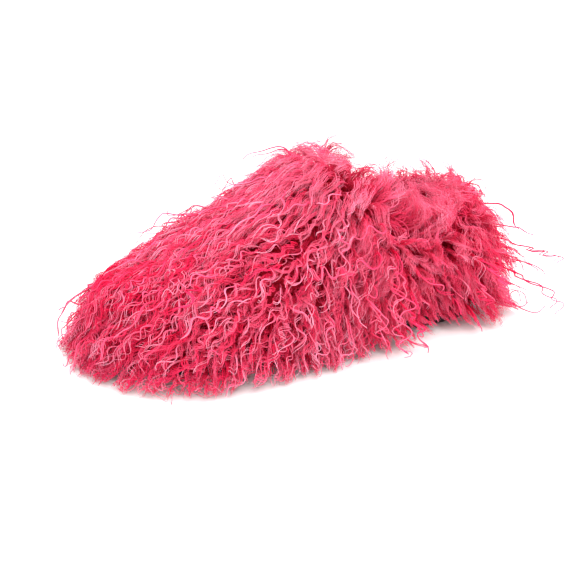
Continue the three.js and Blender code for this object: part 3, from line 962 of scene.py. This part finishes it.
def strand_object(name, paths, radii, tones, material):
    """Closed three-sided tubes along the paths, with tone across and root to tip up the UV layer."""
    n, k, _ = paths.shape
    corners, places, sizes = tube_faces(k)
    starts = np.concatenate([[0], np.cumsum(sizes)[:-1]])
    mesh = bpy.data.meshes.new(name)
    mesh.vertices.add(n * k * SIDES)
    mesh.vertices.foreach_set("co", tube_points(paths, radii).astype(np.float32).ravel())
    mesh.loops.add(n * len(corners))
    order = corners[None, :] + (np.arange(n) * k * SIDES)[:, None]
    mesh.loops.foreach_set("vertex_index", order.astype(np.int32).ravel())
    mesh.polygons.add(n * len(sizes))
    begin = starts[None, :] + (np.arange(n) * len(corners))[:, None]
    mesh.polygons.foreach_set("loop_start", begin.astype(np.int32).ravel())
    mesh.update(calc_edges=True)
    mesh.shade_smooth()
    column = np.clip((np.clip(tones, 0, 0.999) * TONE_COLUMNS).astype(int), 0, TONE_COLUMNS - 1)
    u = (column[:, None] + 0.1 + 0.8 * places[None, :, 0]) / TONE_COLUMNS
    v = np.broadcast_to(places[None, :, 1], u.shape)
    uv_layer = mesh.uv_layers.new(name="OFBake")
    uv_layer.uv.foreach_set("vector", np.stack([u, v], axis=-1).astype(np.float32).ravel())
    mesh.materials.append(material)
    return put_in_scene(name, mesh)


# ---------------------------------------------------------------- the looks of the fur

# A value in threes is for the front, the collar and the rear. Top and within bound where the locks of
# a look stand, and share is how many of them grow, fewer where brushed.
# Count is strands in a lock, and steps are bends in a strand. Reach is the height in the pile and its
# random range, run the growth along the floor, lean a turn sideways, and gather the pull of a leader.
# Waves have a wavelength, a height and a pinch; dip is slow rises, crimp fine noise, and frizz each
# strand's own waves. Root and tip are a lock's half width there. The rest is thickness and tone.
# Tone is partly painted light: the under and ruff hair is set paler at the collar, and the curls' pale tone
# is partly paler wool and partly painted highlight.
LOOKS = {
    "under": dict(
        top=ANYWHERE, within=ANYWHERE, share=(1, 1, 1), brushed=0, spacing=4.3, count=10, steps=16,
        length=(46, 38, 50), reach=(1.02, 1.1, 0.95), reach_range=(0.5, 1.1), run=0.15,
        lean=(0.2, 0.4, 0.2), gather=(0.45, 0.1, 0.8), wavelength=(13, 24), wave=(2.1, 1.1, 1.1), pinch=0.2,
        dip=0.8, crimp=0.36, twist=0.05, frizz=(0.5, 0.5, 0.4),
        root=2.4, tip=(0.6, 1.6, 0.6), radius=0.27, taper=0.75,
        tone=(0.18, 0.3, 0.2), tone_locks=0.1, tone_own=0.07,
    ),
    "ruff": dict(
        top=ANYWHERE, within=1.8, share=(0.7, 1, 0.45), brushed=0, spacing=3.1, count=18, steps=12,
        length=(36, 44, 40), reach=(0.95, 1.1, 1.0), reach_range=(0.35, 1.05), run=0.15,
        lean=(0.4, 0.45, 0.4), gather=(0.1, 0.0, 0.6), wavelength=(16, 28), wave=(1.5, 1.5, 1.5), pinch=0.1,
        dip=0, crimp=0.4, twist=0.03, frizz=(0.5, 0.5, 0.5),
        root=3.0, tip=(2.4, 2.4, 2.4), radius=0.25, taper=0.8,
        tone=(0.26, 0.34, 0.24), tone_locks=0.1, tone_own=0.08,
    ),
    "curl": dict(
        top=ANYWHERE, within=ANYWHERE, share=(1, 0.5, 0.35), brushed=0.5, spacing=5.0, count=3, steps=30,
        length=(40, 26, 50), reach=(1.08, 1.05, 1.0), reach_range=(0.85, 1.14), run=0.4,
        lean=(0.35, 0.6, 0.3), gather=(0.35, 0.1, 0.6), wavelength=(14, 26), wave=(2.2, 1.3, 1.5), pinch=0.1,
        dip=2.0, crimp=0.05, twist=0.4, frizz=(0.12, 0.15, 0.12),
        root=0.7, tip=(0.25, 0.3, 0.25), radius=0.4, taper=0.7,
        tone=(0.72, 0.55, 0.5), tone_locks=0.16, tone_own=0.06,
    ),
    "fringe": dict(
        top=36, within=ANYWHERE, share=(1, 1, 0.7), brushed=0, spacing=7.0, count=2, steps=40,
        length=(50, 40, 40), reach=(0.9, 0.8, 0.8), reach_range=(0.3, 1.1), run=1.0,
        lean=(0.5, 0.4, 0.4), gather=(0.3, 0.1, 0.4), wavelength=(13, 26), wave=(2.2, 1.8, 1.8), pinch=0.1,
        dip=1.0, crimp=0.05, twist=0.3, frizz=(0.2, 0.2, 0.2),
        root=1.0, tip=(0.3, 0.3, 0.3), radius=0.36, taper=0.6,
        tone=(0.45, 0.35, 0.3), tone_locks=0.15, tone_own=0.06,
    ),
    "wisp": dict(
        top=ANYWHERE, within=ANYWHERE, share=(0.4, 0.3, 1), brushed=0, spacing=10.5, count=2, steps=50,
        length=(60, 38, 84), reach=(1.25, 1.2, 1.65), reach_range=(0.95, 1.3), run=1.0,
        lean=(0.5, 1.0, 0.5), gather=(0.1, 0.1, 0.1), wavelength=(16, 32), wave=(2.6, 2.0, 4.0), pinch=0.1,
        dip=1.5, crimp=0.03, twist=0.3, frizz=(0.15, 0.3, 0.15),
        root=0.4, tip=(0.15, 0.3, 0.15), radius=0.56, taper=0.5,
        tone=(0.4, 0.3, 0.02), tone_locks=0.12, tone_own=0.06,
    ),
}


def build_fur():
    """Every look on every panel, from one seeded generator: the leaders first, then look by look."""
    rng = np.random.default_rng(SEED)
    fur = fur_material()
    leaders = Leaders(rng)
    for name, look in LOOKS.items():
        paths, radii, tones, owner = grow_locks(rng, look, leaders)
        for i, panel in enumerate(PANELS):
            mine = owner == i
            obj = strand_object(f"{panel}_pile_{name}", paths[mine], radii[mine], tones[mine], fur)
            finish_piece(obj, PANEL_BODY[panel], "fur_pink", f"{panel}_fur")


def build_backing():
    """The knitted cloth the pile grows from, with the felted roots of the wool on it."""
    for panel in PANELS:
        turn, angle = panel_grid(panel, BACKING, SOLE_TOP - 1, setback=3, columns=121, rows=81)
        cloth = FOOT.point(turn, angle, BACKING)
        lumps = 0.5 + 0.25 * np.sin(turn * 90) * np.sin(angle * 14)
        lumps = lumps + 0.15 * np.sin(turn * 210 + angle * 31)
        edges = smooth(cloth[..., 2], SOLE_TOP - 3, SOLE_TOP + 14)
        edges = edges * smooth(opening_reach(cloth), 1.05, 1.4)
        points = in_pile(turn, angle, 0.06 + 0.4 * lumps * edges)
        obj = sheet(f"{panel}_backing", points, 1.2, BACKING_CLOTH)
        finish_piece(obj, PANEL_BODY[panel], "fur_pink", f"{panel}_fur")


build_backing()
build_fur()

# ---------------------------------------------------------------- stage, in metres

MIDDLE = (0, 0, 0.05)  # a place in the slipper that the camera and the lamps look at
# Name, place, and power in watts of each soft lamp.
LAMPS = (
    ("key", (0.2, 1.2, 1.7), 27.5),
    ("fill", (-1.2, 1.3, 0.8), 13),
    ("top", (-0.2, -0.4, 1.6), 21),
)
LAMP_SIZE = 1.2


def stand(obj, place, way):
    """Stands a camera or lamp at a place, looking along a way."""
    obj.location = place
    obj.rotation_mode = "QUATERNION"
    obj.rotation_quaternion = Vector(way).to_track_quat("-Z", "Y")


def camera_at(azimuth, elevation, distance, right, up, lens):
    """A camera at two angles and a distance from MIDDLE; right and up shift its aim from there."""
    a, e = math.radians(azimuth), math.radians(elevation)
    back = np.array([math.sin(a) * math.cos(e), -math.cos(a) * math.cos(e), math.sin(e)])
    side = unit(np.cross([0, 0, 1], back))
    above = np.cross(back, side)
    data = bpy.data.cameras.new("camera")
    data.lens = lens
    data.sensor_width = 36
    camera = put_in_scene("camera", data)
    place = np.array(MIDDLE) + back * distance
    aim = np.array(MIDDLE) + side * right + above * up
    stand(camera, place, aim - place)
    bpy.context.scene.camera = camera


def add_floor():
    """A plain pale floor."""
    half = 30.0
    corners = [(-half, -half, 0), (half, -half, 0), (half, half, 0), (-half, half, 0)]
    mesh = bpy.data.meshes.new("floor")
    mesh.from_pydata(corners, [], [(0, 1, 2, 3)])
    material, _, _, shader = new_material("floor")
    shader.inputs["Base Color"].default_value = (0.9, 0.9, 0.9, 1)
    shader.inputs["Roughness"].default_value = 0.8
    shader.inputs["Specular IOR Level"].default_value = 0.1
    mesh.materials.append(material)
    put_in_scene("floor", mesh)


def add_light():
    """A white surround and the soft lamps."""
    world = bpy.data.worlds.new("world")
    bpy.context.scene.world = world
    world.use_nodes = True
    background = world.node_tree.nodes["Background"]
    background.inputs["Color"].default_value = (1, 1, 1, 1)
    background.inputs["Strength"].default_value = 1.0
    for name, place, power in LAMPS:
        data = bpy.data.lights.new(name, "AREA")
        data.energy = power
        data.size = LAMP_SIZE
        stand(put_in_scene(name, data), place, Vector(MIDDLE) - Vector(place))
    bpy.context.scene.view_settings.view_transform = "Standard"


camera_at(azimuth=150, elevation=19, distance=0.878, right=-0.0075, up=-0.021, lens=85)
add_floor()
add_light()
